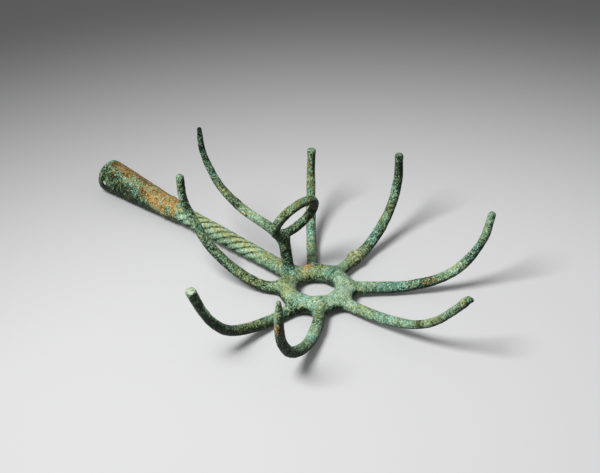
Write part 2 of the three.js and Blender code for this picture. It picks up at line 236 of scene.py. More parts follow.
def curve_through(stations, spacing):
    """Evenly spaced points on the centripetal curve through the stations."""
    p = np.array([tuple(s) + (0,) * (3 - len(s)) for s in stations], float)[:, [0, 2, 1]]
    p = np.vstack([2 * p[0] - p[1], p, 2 * p[-1] - p[-2]])
    dense = []
    for i in range(1, len(p) - 2):
        p0, p1, p2, p3 = p[i - 1 : i + 3]
        d0, d1, d2 = (math.sqrt(np.linalg.norm(b - a)) for a, b in ((p0, p1), (p1, p2), (p2, p3)))
        t1 = ((p1 - p0) / d0 - (p2 - p0) / (d0 + d1) + (p2 - p1) / d1) * d1
        t2 = ((p2 - p1) / d1 - (p3 - p1) / (d1 + d2) + (p3 - p2) / d2) * d1
        t = np.linspace(0, 1, 60, endpoint=i == len(p) - 3)[:, None]
        a, b = -3 * p1 + 3 * p2 - 2 * t1 - t2, 2 * p1 - 2 * p2 + t1 + t2
        dense.append(p1 + t1 * t + a * t**2 + b * t**3)
    dense = np.vstack(dense)
    along = np.concatenate([[0], np.cumsum(np.linalg.norm(np.diff(dense, axis=0), axis=1))])
    count = int(math.ceil(along[-1] / spacing)) + 1
    even = np.linspace(0, along[-1], count)
    return np.stack([np.interp(even, along, dense[:, k]) for k in range(3)], 1)


def prong_bar(prong, root):
    """Points on a prong's centreline, with their radii and their shares of its length."""
    stations = [(root[0], root[1])]
    stations += [(root[0] + s[0], root[1] + s[1], *s[2:]) for s in prong["stations"]]
    points = curve_through(stations, CURVE_STEP)
    share = np.linspace(0, 1, len(points))
    first, middle, last = prong["thickness"]
    radii = first * (1 - share) * (1 - 2 * share) + last * share * (2 * share - 1)
    radii = (radii + 4 * middle * share * (1 - share)) / 2
    if "swelling" in prong:
        beyond, spread, height = prong["swelling"]
        radii = radii + height * bell(points[:, 0] - root[0], beyond, spread)
    if "taper" in prong:
        start, part = prong["taper"]
        radii = radii * (1 - part * rise(start, 1.0, share))
    return dict(points=moved(points, prong_frame(prong)), radii=radii, share=share)


def bearing_point(bearing, out, up):
    turn = math.radians(bearing)
    return np.array([out * math.cos(turn), out * math.sin(turn), up])


def loop_bar():
    facing, lean = math.radians(LOOP_FACING), math.radians(LOOP_LEAN)
    level = math.cos(lean)
    normal = np.array([level * math.cos(facing), level * math.sin(facing), math.sin(lean)])
    across = np.cross([0, 0, 1], normal)
    across /= np.linalg.norm(across)
    upright = np.cross(normal, across)
    out, up = STALK_TOP
    foot = bearing_point(STALK_BEARING, out + LOOP_FOOT_BEYOND, up + LOOP_FOOT_ABOVE)
    centre = foot - LOOP_FOOT_BESIDE * across + LOOP_HALF_HEIGHT * upright
    turn = np.linspace(-math.pi / 2, 1.5 * math.pi, 97)[:, None]
    points = centre + LOOP_HALF_WIDTH * np.cos(turn) * across
    points += LOOP_HALF_HEIGHT * np.sin(turn) * upright
    share = np.linspace(0, 1, len(points))
    return dict(points=points, radii=np.full(len(points), LOOP_BAR), share=share)


# Distance fields

class Grid:
    def __init__(self, low, high, step):
        self.step = step
        self.low = np.array(low, float)
        self.count = np.ceil((np.array(high) - self.low) / step).astype(int) + 1
        self.clear()

    def clear(self):
        self.value = np.full(self.count, FAR, np.float32)

    def window(self, low, high):
        """The first index and the number of grid points along each axis, for a box."""
        first = np.clip(np.floor((low - self.low) / self.step).astype(int), 0, self.count - 1)
        last = np.clip(np.ceil((high - self.low) / self.step).astype(int), 0, self.count - 1)
        return first, last - first + 1

    def axes(self, first, count):
        return [
            (self.low[k] + self.step * np.arange(first[k], first[k] + count[k])).astype(np.float32)
            for k in range(3)
        ]

    def places(self, first, count):
        x, y, z = self.axes(first, count)
        return np.stack(np.meshgrid(x, y, z, indexing="ij"), -1).reshape(-1, 3).astype(float)


def patch(first, count):
    return tuple(slice(first[k], first[k] + count[k]) for k in range(3))


def bar_field(grid, bar):
    """Distance from a bar's surface, near the bar."""
    points, radii = bar["points"], bar["radii"]
    reach = radii.max() + BAND
    first, count = grid.window(points.min(0) - reach, points.max(0) + reach)
    value = np.full(count, FAR, np.float32)
    for a, b, ra, rb in zip(points[:-1], points[1:], radii[:-1], radii[1:]):
        start, size = grid.window(np.minimum(a, b) - reach, np.maximum(a, b) + reach)
        x, y, z = grid.axes(start, size)
        x, y, z = x[:, None, None], y[None, :, None], z[None, None, :]
        d = (b - a).astype(np.float32)
        t = (x - a[0]) * d[0] + (y - a[1]) * d[1] + (z - a[2]) * d[2]
        t = np.clip(t / float(d @ d), 0, 1)
        off = (x - a[0] - t * d[0]) ** 2 + (y - a[1] - t * d[1]) ** 2 + (z - a[2] - t * d[2]) ** 2
        here = patch(start - first, size)
        value[here] = np.minimum(value[here], np.sqrt(off) - (ra + t * (rb - ra)))
    return dict(first=first, count=count, value=value)


def shape_field(grid, low, high, distance):
    """Field of a shape whose distance function takes an array of points."""
    first, count = grid.window(np.array(low), np.array(high))
    value = distance(grid.places(first, count)).reshape(count).astype(np.float32)
    return dict(first=first, count=count, value=value)


def smooth_least(a, b, k):
    h = np.clip(0.5 + 0.5 * (a - b) / k, 0, 1)
    return a + (b - a) * h - k * h * (1 - h)


def add_field(grid, field, k):
    here = patch(field["first"], field["count"])
    grid.value[here] = smooth_least(grid.value[here], field["value"], k)


def sample(grid, field, points):
    """Value at the points of a field, or of the grid if that is None. FAR outside its window."""
    first = field["first"] if field else np.zeros(3, int)
    value = field["value"] if field else grid.value
    p = (points - grid.low) / grid.step - first
    cell = np.floor(p).astype(int)
    inside = ((cell >= 0) & (cell < np.array(value.shape) - 1)).all(1)
    result = np.full(len(points), FAR)
    cell, f = cell[inside], (p - cell)[inside]
    total = 0.0
    for step in CORNERS:
        at = cell + step
        weight = np.prod(np.where(step == 1, f, 1 - f), 1)
        total = total + weight * value[at[:, 0], at[:, 1], at[:, 2]]
    result[inside] = total
    return result


def surface(grid):
    """Closed quad mesh of the field's zero level."""
    v = grid.value
    inside = v < 0
    n = np.array(v.shape) - 1
    total = np.zeros(n, np.uint8)
    for i, j, k in CORNERS:
        total += inside[i : n[0] + i, j : n[1] + j, k : n[2] + k]
    cells = np.argwhere((total > 0) & (total < 8))
    ids = np.full(n, -1, np.int64)
    ids[tuple(cells.T)] = np.arange(len(cells))
    place = np.zeros((len(cells), 3))
    crossings = np.zeros(len(cells))
    for a in CORNERS:
        for axis in range(3):
            if a[axis]:
                continue
            b = a.copy()
            b[axis] = 1
            va = v[tuple((cells + a).T)]
            vb = v[tuple((cells + b).T)]
            cross = (va < 0) != (vb < 0)
            t = va[cross] / (va[cross] - vb[cross])
            place[cross] += a + t[:, None] * (b - a)
            crossings[cross] += 1
    points = grid.low + grid.step * (cells + place / crossings[:, None])
    quads = []
    for axis in range(3):
        one, two = (axis + 1) % 3, (axis + 2) % 3
        step = np.zeros(3, int)
        step[axis] = 1
        near = inside[tuple(slice(0, s) for s in n + 1 - step)]
        beyond = inside[tuple(slice(step[k], None) for k in range(3))]
        at = np.argwhere(near != beyond)
        at = at[(at[:, one] > 0) & (at[:, two] > 0) & (at[:, one] < n[one]) & (at[:, two] < n[two])]
        around = []
        for s, t in ((1, 1), (0, 1), (0, 0), (1, 0)):
            c = at.copy()
            c[:, one] -= s
            c[:, two] -= t
            around.append(ids[tuple(c.T)])
        quad = np.stack(around, 1)
        flip = ~near[tuple(at.T)]
        quad[flip] = quad[flip][:, ::-1]
        quads.append(quad)
    return points, np.vstack(quads)


def settle(grid, points):
    """Moves points onto the field's zero level."""
    h = grid.step * 0.5
    for _ in range(2):
        here = sample(grid, None, points)
        slope = np.stack([
            sample(grid, None, points + h * axis) - sample(grid, None, points - h * axis)
            for axis in np.eye(3)
        ], 1) / (2 * h)
        size = np.maximum((slope**2).sum(1), 0.25)
        points = points - (here / size)[:, None] * slope
    return points


def by_size(faces):
    """The faces as arrays, one for each number of corners."""
    sizes = np.array([len(f) for f in faces])
    for size in np.unique(sizes):
        yield size, np.array([faces[i] for i in np.flatnonzero(sizes == size)])


def vertex_normals(points, faces):
    normals = np.zeros_like(points)
    for size, f in by_size(faces):
        face, start = np.zeros((len(f), 3)), points[f[:, 0]]
        for k in range(1, size - 1):
            face += np.cross(points[f[:, k]] - start, points[f[:, k + 1]] - start)
        for k in range(size):
            np.add.at(normals, f[:, k], face)
    return normals / np.maximum(np.linalg.norm(normals, axis=1), 1e-9)[:, None]


# The casting

def hub_distance(p):
    level = np.hypot(p[:, 0], p[:, 1]) - HUB_RADIUS
    up = p[:, 2] - HUB_UP
    half = np.where(level < 0, HUB_HALF_WIDTH - EYE_WEAR, HUB_HALF_WIDTH)
    k = np.sqrt((level / half) ** 2 + (up / HUB_HALF_HEIGHT) ** 2)
    g = np.sqrt((level / half**2) ** 2 + (up / HUB_HALF_HEIGHT**2) ** 2)
    return k * (k - 1) / np.maximum(g, 1e-6)


def shank_distance(p):
    along, y, z = moved(p, TO_HANDLE).T
    share = np.clip((along - HUB_RADIUS) / (FLARE_START - HUB_RADIUS), 0, 1)
    body = SHANK_RADIUS + SHANK_GROWTH * share
    body += (FLARE_RADIUS - body) * rise(FLARE_START, SHANK_END, along) ** FLARE_CURVE
    depth = FLUTE_DEPTH * rise(TWIST_START, TWIST_FULL, along)
    depth = depth * (1 - rise(FLARE_START, TWIST_END, along))
    skin = np.hypot(y, z) - (body + RIDGE_LIFT - depth * (1 - twist_ridge(along, y, z)))
    return np.maximum(skin, np.maximum(HUB_RADIUS - along, along - SHANK_END))


def twist_ridge(along, y, z):
    """1 on the ridges of the twist and 0 in the grooves between them."""
    angle = np.arctan2(z, y) + 2 * math.pi * (along - HUB_RADIUS) / TWIST_LEAD
    return np.abs(np.cos(3 * (angle - RIDGE_AT))) ** 0.8


def build_bars():
    bars = {}
    for name, prong in PRONGS.items():
        root = STALK_TOP if name == "prong_1" else (HUB_RADIUS, 0)
        bars[name] = prong_bar(prong, root)
    root = bearing_point(STALK_BEARING, *STALK_ROOT)
    top = bearing_point(STALK_BEARING, *STALK_TOP)
    share = np.linspace(0, 1, 20)
    points = root + share[:, None] * (top - root)
    radii = np.full(len(share), STALK_RADIUS)
    bars["loop_stalk"] = dict(points=points, radii=radii, share=share)
    bars["hanging_loop"] = loop_bar()
    return bars


def flatten_tip(grid, field, bar):
    """Gives a bar a flat end, a little beyond its last point."""
    end, before = bar["points"][-1], bar["points"][-3]
    way = (end - before) / np.linalg.norm(end - before)
    radius = bar["radii"][-1]
    reach = radius + BAND
    start, size = grid.window(end - reach, end + reach)
    p = grid.places(start, size)
    beyond = (p - end) @ way
    sideways = np.linalg.norm(p - end - beyond[:, None] * way, axis=1)
    stub = np.maximum(sideways - radius, beyond - 0.75 * radius)
    stub = np.maximum(stub, -beyond - 1.0).reshape(size)
    here = patch(start - field["first"], size)
    field["value"][here] = smooth_least(field["value"][here], stub, TIP_EDGE)


def nodule(centre, way, long, wide):
    """Distance function of an egg-shaped lump."""
    way = np.array(way, float) / np.linalg.norm(way)

    def distance(p):
        away = p - centre
        along = away @ way
        side = np.linalg.norm(away - along[:, None] * way, axis=1)
        k = np.hypot(along / long, side / wide)
        g = np.hypot(along / long**2, side / wide**2)
        return k * (k - 1) / np.maximum(g, 1e-6)

    return distance


def bar_at(bar, share):
    """Point and direction at a share of a bar's length."""
    i = min(int(round(share * (len(bar["points"]) - 1))), len(bar["points"]) - 2)
    way = bar["points"][i + 1] - bar["points"][i]
    return bar["points"][i], way / np.linalg.norm(way)


def cast_field(bars):
    """The grid with the whole casting in it, and the field of each piece alone."""
    everything = np.vstack([b["points"] for b in bars.values()])
    low = np.minimum(everything.min(0) - CASTING_MARGIN, [-SHANK_END - 6, -14, -12])
    grid = Grid(low, everything.max(0) + CASTING_MARGIN, CASTING_STEP)
    fields = {}
    reach = HUB_RADIUS + HUB_HALF_WIDTH + BAND
    fields["hub_ring"] = shape_field(grid, [-reach, -reach, -13], [reach, reach, 15], hub_distance)
    for name, bar in bars.items():
        fields[name] = bar_field(grid, bar)
        if name in PRONGS and PRONGS[name]["tip"] == "flat":
            flatten_tip(grid, fields[name], bar)
    fields["twisted_shank"] = shape_field(
        grid, [-SHANK_END - 4, -16, -14], [-HUB_RADIUS + 9, 18, 22], shank_distance
    )
    add_field(grid, fields["loop_stalk"], NO_FILLET)
    add_field(grid, fields["prong_1"], RAISED_FILLET)
    add_field(grid, fields["hanging_loop"], LOOP_FILLET)
    upper = grid.value
    grid.clear()
    add_field(grid, fields["hub_ring"], NO_FILLET)
    for name in HUB_PRONGS:
        add_field(grid, fields[name], PRONG_FILLET)
    add_field(grid, fields["twisted_shank"], SHANK_FILLET)
    grid.value = smooth_least(grid.value, upper, STALK_FILLET)
    for name, share, lift, long, wide, softness, stray in LUMPS:
        at, way = bar_at(bars[name], share)
        centre = at + [0, 0, lift] + np.array(stray)
        reach = max(long, wide) + BAND
        lump = nodule(centre, way, long, wide)
        add_field(grid, shape_field(grid, centre - reach, centre + reach, lump), softness)
    return grid, fields


BARS = build_bars()
GRID, FIELDS = cast_field(BARS)
NAMES = list(FIELDS)
ORDER = {name: i for i, name in enumerate(NAMES)}


def piece_values(points):
    """A row for each piece in NAMES: its own field at the points."""
    return np.stack([sample(GRID, FIELDS[name], points) for name in NAMES])


# Parting the casting into pieces

class Cut:
    """A flat seam at the root of a piece, above 0 on the piece's side. It reaches as far as the
    piece's own field is below `near`."""

    def __init__(self, name, at, way, near=4.0):
        self.name, self.at, self.way, self.near = name, at, way, near

    def value(self, points):
        return (points - self.at) @ self.way


def seam_cuts():
    cuts = []
    for name in HUB_PRONGS:
        points = BARS[name]["points"]
        i = int(np.argmax(np.hypot(points[:, 0], points[:, 1]) > ROOT_CUT))
        way = points[i + 1] - points[i]
        cuts.append(Cut(name, points[i], way / np.linalg.norm(way)))
    cuts.append(Cut("twisted_shank", on_handle(ROOT_CUT), on_handle(1) - on_handle(0)))
    root, top = BARS["loop_stalk"]["points"][[0, -1]]
    way = (top - root) / np.linalg.norm(top - root)
    cuts.append(Cut("loop_stalk", root + STALK_CUT * way, way, 5.0))
    cuts.append(Cut("prong_1", *bar_at(BARS["prong_1"], RAISED_CUT)))
    return cuts


def off_zero(value):
    """Keeps a point's value off 0, so that seams split edges only between their ends."""
    return value if abs(value) > 1e-4 else 1e-4


def split_faces(bm, faces, value):
    """Splits the faces along the line where value is 0."""
    fresh = set()
    for edge in {e for f in faces for e in f.edges}:
        a, b = edge.verts
        if (value[a] < 0) != (value[b] < 0):
            _, made = bmesh.utils.edge_split(edge, a, value[a] / (value[a] - value[b]))
            fresh.add(made)
            value[made] = 0.0
    for face in faces:
        on_line = [v for v in face.verts if v in fresh]
        if len(on_line) == 2:
            bmesh.utils.face_split(face, on_line[0], on_line[1])


def cut_seams(points, quads, cuts):
    """The casting's mesh with all seams cut into its faces."""
    mesh = bpy.data.meshes.new("casting")
    mesh.from_pydata(points.tolist(), [], quads.tolist())
    bm = bmesh.new()
    bm.from_mesh(mesh)
    bpy.data.meshes.remove(mesh)
    values = piece_values(points)
    for cut in cuts:
        bm.verts.ensure_lookup_table()
        close = (values[ORDER[cut.name]] < cut.near) & (np.abs(cut.value(points)) < SEAM_BAND)
        verts = [bm.verts[i] for i in np.flatnonzero(close)]
        faces = {f for v in verts for f in v.link_faces}
        value = {}
        for f in faces:
            for v in f.verts:
                if v not in value:
                    value[v] = off_zero(float(cut.value(np.array([v.co]))[0]))
        split_faces(bm, faces, value)
    loop_seam(bm)
    bm.verts.index_update()
    points = np.array([v.co for v in bm.verts])
    faces = [[v.index for v in f.verts] for f in bm.faces]
    bm.free()
    return points, faces


def loop_value(p):
    """Above 0 where the loop is nearer than the stalk and prong_1."""
    loop, stalk, prong = (
        sample(GRID, FIELDS[name], p) for name in ("hanging_loop", "loop_stalk", "prong_1")
    )
    return np.minimum(stalk, prong) - loop


def loop_seam(bm):
    """Splits faces along the line where the loop and the stalk are equally near."""
    foot = BARS["hanging_loop"]["points"][0]
    away = {v: np.array(v.co) - foot for v in bm.verts}
    verts = [v for v in bm.verts if away[v] @ away[v] < LOOP_SEAM_REACH**2]
    values = loop_value(np.array([v.co for v in verts]))
    value = {v: off_zero(x) for v, x in zip(verts, values)}
    faces = {f for v in verts for f in v.link_faces if all(u in value for u in f.verts)}
    faces = {f for f in faces if max(abs(value[u]) for u in f.verts) < LOOP_SEAM_BAND}
    split_faces(bm, faces, value)


def face_labels(points, faces, cuts):
    """For each face the place in NAMES of the piece that it belongs to."""
    centres = np.array([points[f].mean(0) for f in faces])
    label = np.zeros(len(faces), int)
    but_hub = np.array([name != "hub_ring" for name in NAMES])
    nearest = np.where(but_hub[:, None], piece_values(centres), FAR).argmin(0)
    for cut in cuts:
        mine = ORDER[cut.name]
        beyond = cut.value(centres) > 0
        if cut.name == "loop_stalk":
            upper = [ORDER[n] for n in ("loop_stalk", "hanging_loop", "prong_1")]
            belongs = beyond & np.isin(nearest, upper) & (centres[:, 2] > ABOVE_HUB)
        elif cut.name == "prong_1":
            belongs = beyond & (label == ORDER["loop_stalk"]) & (nearest == mine)
        else:
            belongs = beyond & (nearest == mine)
        label[belongs] = mine
    upper = np.isin(label, [ORDER["loop_stalk"], ORDER["prong_1"]])
    label[upper & (loop_value(centres) > 0)] = ORDER["hanging_loop"]
    return label


# Socket and collar

def socket_distance(p):
    along, y, z = moved(p, TO_HANDLE).T
    radius = np.hypot(y, z)
    slope = (MOUTH_RADIUS - SOCKET_END_RADIUS) / (MOUTH - SOCKET_END)
    outer = SOCKET_END_RADIUS + slope * (along - SOCKET_END)
    skin = (radius - outer) / math.hypot(1, slope)
    body = -smooth_least(-skin, -(along - MOUTH), MOUTH_EDGE)
    body = np.maximum(body, SOCKET_END - along)
    bore = np.maximum(radius - (outer - WALL), BORE_END - along)
    body = -smooth_least(-body, bore, BORE_EDGE)
    nail = np.maximum(np.hypot(along - NAIL_AT, z) - NAIL_RADIUS, -y)
    return -smooth_least(-body, nail, NAIL_EDGE)


def collar_distance(p):
    along, y, z = moved(p, TO_HANDLE).T
    lip = FLARE_RADIUS + COLLAR_LIP * rise(COLLAR_END, COLLAR_TOP, along)
    line = LINE_DEPTH * rise(LINE_OUTER, LINE_INNER, SOCKET_END - along)
    skin = np.hypot(y, z) - (lip - line)
    return np.maximum(skin, np.maximum(COLLAR_END - along, along - (SOCKET_END - SEAT_GAP)))


def turned_piece(low, high, distance):
    """Mesh of a piece of the handle between two places along it."""
    a, b = on_handle(low), on_handle(high)
    own = Grid(np.minimum(a, b) - TURNED_MARGIN, np.maximum(a, b) + TURNED_MARGIN, TURNED_STEP)
    everywhere = own.places(np.zeros(3, int), own.count)
    own.value = distance(everywhere).reshape(own.count).astype(np.float32)
    p, q = surface(own)
    return settle(own, p), [list(f) for f in q]


# Surface relief and colour masks

def relief(p):
    """How far the skin stands out: casting waves, corrosion, pits, and the crack in the hub."""
    wave = 0.30 * noise(p, 23, 3) + 0.18 * noise(p, 9, 5)
    lumps = 0.14 * noise(p, 4.2, 7) + 0.12 * noise(p, 2.2, 11)
    pits = -0.35 * rise(0.42, 0.75, layered(p, 3.4, 23, 2)) * rise(0.0, 0.4, noise(p, 17, 29))
    crust = 0.30 * rise(0.30, 0.62, layered(p, 5.5, 31, 3)) * rise(-0.1, 0.4, noise(p, 21, 37))
    bearing = np.degrees(np.arctan2(p[:, 1], p[:, 0])) + 1.2 * noise(p, 6, 41)
    out = np.hypot(p[:, 0], p[:, 1])
    crack = -0.6 * bell((bearing - CRACK_BEARING) * 0.5, 0, 0.45) * rise(26.5, 28.5, out)
    crack *= rise(5.5, 4, p[:, 2]) * rise(33, 31, out)
    lump, _ = bar_at(BARS["prong_3"], LUMP_SHARE)
    crumbs = 0.4 * noise(p, 3.4, 43) + 0.45 * noise(p, 2.0, 47)
    crumbly = rise(12, 7, np.linalg.norm(p - lump, axis=1)) * crumbs
    return wave + lumps + pits + crust + crack + crumbly


def neighbours_mean(values, faces, count):
    """At each point the mean over the faces that it belongs to."""
    total, number = np.zeros((count,) + values.shape[1:]), np.zeros(count)
    for size, f in by_size(faces):
        mean = values[f].mean(1)
        for k in range(size):
            np.add.at(total, f[:, k], mean)
            np.add.at(number, f[:, k], 1)
    shape = (-1,) + (1,) * (values.ndim - 1)
    return total / np.maximum(number, 1).reshape(shape)


def hollow(points, normals, faces):
    """Above 0 in hollows and below 0 on bumps, from the mesh's own relief."""
    smooth = points
    for _ in range(6):
        smooth = neighbours_mean(smooth, faces, len(points))
    return ((smooth - points) * normals).sum(1)


def finish_skin(points, faces):
    """Adds the relief, and gives the points, their normals and how hollow the skin is there."""
    normals = vertex_normals(points, faces)
    own = hollow(points, normals, faces)
    points = points + relief(points)[:, None] * normals
    floor = -SHIFT[2]
    points[:, 2] = np.maximum(points[:, 2], floor)
    normals = vertex_normals(points, faces)
    return points, normals, hollow(points, normals, faces) - np.minimum(own, 0)


# The tone at a point has four parts, each 0 to 1: how light it is, which is the patina's lightness
# with painted shade and highlight added, and how much of it is blue-green, ochre and olive.
LIGHT, BLUE, OCHRE, OLIVE = range(4)

# Lightness of each bar's plain patina and how deep the painted shade on its side away from the lamp
# is, then its patches: the part of the tone that they change, the middle and the reach as shares of
# the length, and how much.
PATCHES = {
    "prong_1": (0.50, 0.18, [
        (LIGHT, 0.28, 0.12, 0.22), (LIGHT, 0.41, 0.03, -0.3), (OCHRE, 0.32, 0.05, 0.45),
        (OLIVE, 0.5, 0.12, 0.6), (BLUE, 0.7, 0.1, 0.5), (LIGHT, 0.95, 0.25, -0.33),
    ]),
    "prong_2": (0.54, 0.18, [
        (LIGHT, 0.13, 0.03, -0.25), (OLIVE, 0.25, 0.12, 0.5), (BLUE, 0.5, 0.1, 0.5),
        (LIGHT, 0.66, 0.1, 0.1), (OLIVE, 0.8, 0.08, 0.6), (OCHRE, 0.92, 0.05, 0.35),
    ]),
    "prong_3": (0.49, 0.25, [
        (LIGHT, 0.1, 0.07, 0.22), (OLIVE, 0.25, 0.08, 0.9), (LIGHT, 0.25, 0.06, 0.29),
        (OCHRE, 0.27, 0.03, 0.35),
        (BLUE, 0.45, 0.08, 0.7), (OLIVE, 0.62, 0.1, 0.5), (BLUE, 0.8, 0.05, 0.5),
        (LIGHT, 0.92, 0.12, -0.12), (LIGHT, 0.47, 0.07, -0.04),
    ]),
    "prong_4": (0.54, 0.2, [
        (LIGHT, 0.13, 0.12, 0.11), (OLIVE, 0.05, 0.06, 0.4), (BLUE, 0.25, 0.1, 0.6),
        (OCHRE, 0.45, 0.06, 0.4), (LIGHT, 0.43, 0.07, -0.3), (LIGHT, 0.6, 0.06, 0.15),
        (LIGHT, 0.74, 0.07, -0.1), (BLUE, 0.78, 0.08, 0.45), (LIGHT, 0.93, 0.08, 0.12),
        (OLIVE, 1.0, 0.05, 0.4),
    ]),
    "prong_5": (0.62, 0.2, [
        (LIGHT, 0.06, 0.08, 0.1), (OCHRE, 0.12, 0.03, 0.4), (OLIVE, 0.18, 0.08, 0.5),
        (LIGHT, 0.4, 0.12, -0.02), (BLUE, 0.38, 0.12, 0.5), (LIGHT, 0.59, 0.02, -0.4),
        (OLIVE, 0.68, 0.12, 0.5), (LIGHT, 0.88, 0.08, -0.12), (OCHRE, 0.97, 0.05, 0.4),
        (LIGHT, 0.68, 0.06, 0.02),
    ]),
    "prong_6": (0.54, 0.3, [
        (OLIVE, 0.1, 0.1, 0.4), (LIGHT, 0.14, 0.08, -0.08), (LIGHT, 0.31, 0.07, 0.18),
        (BLUE, 0.35, 0.06, 0.6), (LIGHT, 0.57, 0.13, -0.17), (OCHRE, 0.85, 0.055, 0.68),
        (LIGHT, 0.76, 0.06, -0.1), (LIGHT, 0.91, 0.08, 0.18), (OLIVE, 0.97, 0.05, 0.5),
    ]),
    "prong_7": (0.37, 0.42, [
        (LIGHT, 0.2, 0.1, 0.22), (LIGHT, 0.45, 0.08, 0.13), (OLIVE, 0.42, 0.12, 0.6),
        (LIGHT, 0.84, 0.1, 0.58), (LIGHT, 1.0, 0.05, 0.4), (OCHRE, 0.98, 0.04, 0.4),
        (LIGHT, 0.6, 0.09, -0.08),
    ]),
    "prong_8": (0.53, 0.36, [
        (LIGHT, 0.14, 0.1, -0.08), (OLIVE, 0.22, 0.12, 0.7), (OCHRE, 0.18, 0.05, 0.3),
        (LIGHT, 0.5, 0.05, -0.1), (BLUE, 0.62, 0.1, 0.4), (LIGHT, 0.69, 0.06, 0.18),
        (LIGHT, 0.92, 0.12, 0.06), (BLUE, 0.92, 0.1, 0.3),
    ]),
    "loop_stalk": (0.34, 0.2, [(LIGHT, 0.0, 0.25, 0.22), (BLUE, 0.1, 0.3, 0.5)]),
    "hanging_loop": (0.53, 0.25, [
        (LIGHT, 0.0, 0.08, -0.2), (OLIVE, 0.4, 0.2, 0.6), (OCHRE, 0.62, 0.1, 0.3),
        # The loop's dark patch at 0.72, on its end facing away from the lamp, is painted shade.
        (LIGHT, 0.72, 0.11, -0.5), (LIGHT, 1.0, 0.06, -0.25),
    ]),
}
# Painted shade darkens the sides of the bars that face this way, down and away from the lamp.
PAINTED_SHADE_WAY = np.array([0.45, 0.15, -0.88])  # the way that darkened bellies face
BLEND_REACH, BLEND_WIDTH = 6, 1.2


def patched(tone, kind, closeness, amount):
    """Lightness is added to, and the other parts of the tone are drawn towards the amount."""
    if kind == LIGHT:
        tone[:, kind] += amount * closeness
    else:
        tone[:, kind] += (amount - tone[:, kind]) * closeness


def plain_tone(count, light, blue=0.3, ochre=0.0, olive=0.35):
    return np.tile(np.array([light, blue, ochre, olive]), (count, 1))


def bar_tone(name, p, n):
    bar = BARS[name]
    nearest = np.concatenate([
        ((part[:, None, :] - bar["points"][None]) ** 2).sum(2).argmin(1)
        for part in np.array_split(p, len(p) // 4000 + 1)
    ])
    share = bar["share"][nearest]
    light, belly_shade, patches = PATCHES[name]
    tone = plain_tone(len(p), light)
    for kind, middle, reach, amount in patches:
        patched(tone, kind, bell(share, middle, reach), amount)
    # Painted shade on the side of each bar that faces down and away from the lamp.
    toward_painted_shade = n @ PAINTED_SHADE_WAY
    shade = belly_shade * rise(-0.30, 0.55, toward_painted_shade) + (0.22 + 0.5 * belly_shade) * rise(0.12, 0.55, toward_painted_shade)
    tone[:, LIGHT] -= shade
    # Painted highlight on the side of each bar that faces the lamp.
    tone[:, LIGHT] += 0.08 * rise(0.3, 0.9, -toward_painted_shade)
    return tone


# Patches on the hub: what they change, bearing, out, up, reach in millimetres, and how much
HUB_PATCHES = (
    (OCHRE, 153, 25, 7, 6.5, 1.0), (LIGHT, 153, 25, 7, 6.5, 0.1), (OLIVE, 122, 25, 6, 6, 0.9),
    (LIGHT, 95, 22, 5, 7, -0.2), (BLUE, 95, 22, 5, 7, 0.55), (OLIVE, 165, 17, 3, 7, 0.8),
    (OLIVE, -150, 24, 7, 12, 0.6), (LIGHT, -150, 24, 7, 12, -0.1), (LIGHT, -60, 25, 7, 14, 0.02),
    (LIGHT, 20, 25, 7, 18, 0.1), (BLUE, 40, 25, 7, 12, 0.5), (OLIVE, 25, 32, 4, 6, 0.8),
    (LIGHT, 128, 24, 7, 9, -0.14), (OLIVE, -110, 25, 7, 8, 0.6), (BLUE, -70, 27, 6, 6, 0.6),
)


def hub_tone(p, n):
    tone = plain_tone(len(p), 0.72, 0.25, 0.0, 0.25)
    for kind, bearing, out, up, reach, amount in HUB_PATCHES:
        away = ((p - bearing_point(bearing, out, up)) ** 2).sum(1)
        patched(tone, kind, np.exp(-away / reach**2), amount)
    outward = (n * p)[:, :2].sum(1) / np.hypot(p[:, 0], p[:, 1])
    # Painted shade where the hub's skin faces sideways or down, deepest on its outer wall.
    tone[:, LIGHT] -= (0.42 + 0.55 * rise(-0.3, 0.3, outward)) * rise(0.6, -0.15, n[:, 2])
    return tone


def handle_place(p):
    """Distance along the handle, degrees above its -Y side, and how far up a ridge of the twist."""
    along, y, z = moved(p, TO_HANDLE).T
    return along, np.degrees(np.arctan2(z, y)), twist_ridge(along, y, z)


def shank_tone(p):
    along, angle, ridge = handle_place(p)
    upper = rise(25, 60, angle) * rise(175, 120, angle)
    joint = rise(FLARE_START, TWIST_END, along)
    twisted = rise(50, 70, along) * (1 - joint)
    tone = plain_tone(len(p), 0.65, 0.35)
    tone[:, LIGHT] += twisted * (0.05 + 0.36 * (ridge - 0.62)) - 0.06 * joint
    tone[:, BLUE] -= 0.15 * joint
    # Painted shade on the shank's underside and on its side turned away from the lamp.
    tone[:, LIGHT] -= 0.45 * rise(20, -40, angle) + 0.3 * rise(150, 185, np.abs(angle))
    yellow = upper * (bell(along, 78, 17) + bell(along, 122, 8))
    tone[:, OCHRE] = 0.34 * yellow * (1 - joint) + joint * (0.4 + 0.2 * upper)
    tone[:, OLIVE] = 0.25 + 0.45 * upper + 0.3 * yellow
    return tone


# How high round the socket its ochre top begins: places along the handle and degrees
OCHRE_EDGE = (178, 190, 205, 220, 235, 250, 256), (-25, 5, 38, 48, 58, 72, 95)


